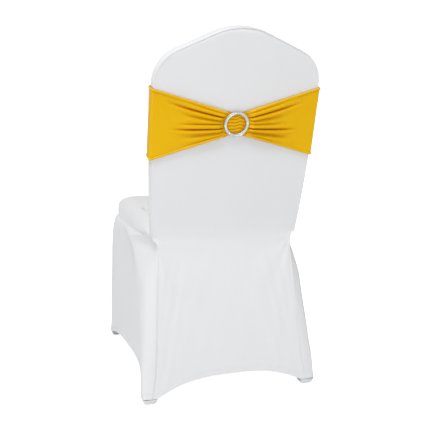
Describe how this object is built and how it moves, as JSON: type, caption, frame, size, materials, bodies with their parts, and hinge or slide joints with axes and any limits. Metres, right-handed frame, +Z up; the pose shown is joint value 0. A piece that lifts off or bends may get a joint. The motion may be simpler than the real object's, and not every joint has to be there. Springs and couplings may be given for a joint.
{
  "type": "chair cover with sash",
  "caption": "White stretch knit cover for a crown-back banquet chair, with a golden sash gathered through a silver ring.",
  "frame": {"origin": "on the floor, under the middle of the cover's bounding box", "axes": "+Z up, -Y towards the front of the chair, +X towards the chair's left side"},
  "size_m": [0.47, 0.6047, 0.9331],
  "materials": {
    "white_knit": "matte white stretch knit",
    "golden_knit": "golden yellow stretch knit with a soft sheen",
    "silver_ring": "silver, set with small clear stones"
  },
  "bodies": {
    "root": {"front_panel": "white_knit", "back_panel": "white_knit", "side_panel_left": "white_knit", "side_panel_right": "white_knit", "edge_strip": "white_knit", "foot_pocket_front_left": "white_knit", "foot_pocket_front_right": "white_knit", "foot_pocket_rear_left": "white_knit", "foot_pocket_rear_right": "white_knit", "sash_band": "golden_knit", "slider_ring": "silver_ring"}
  },
  "joints": []
}
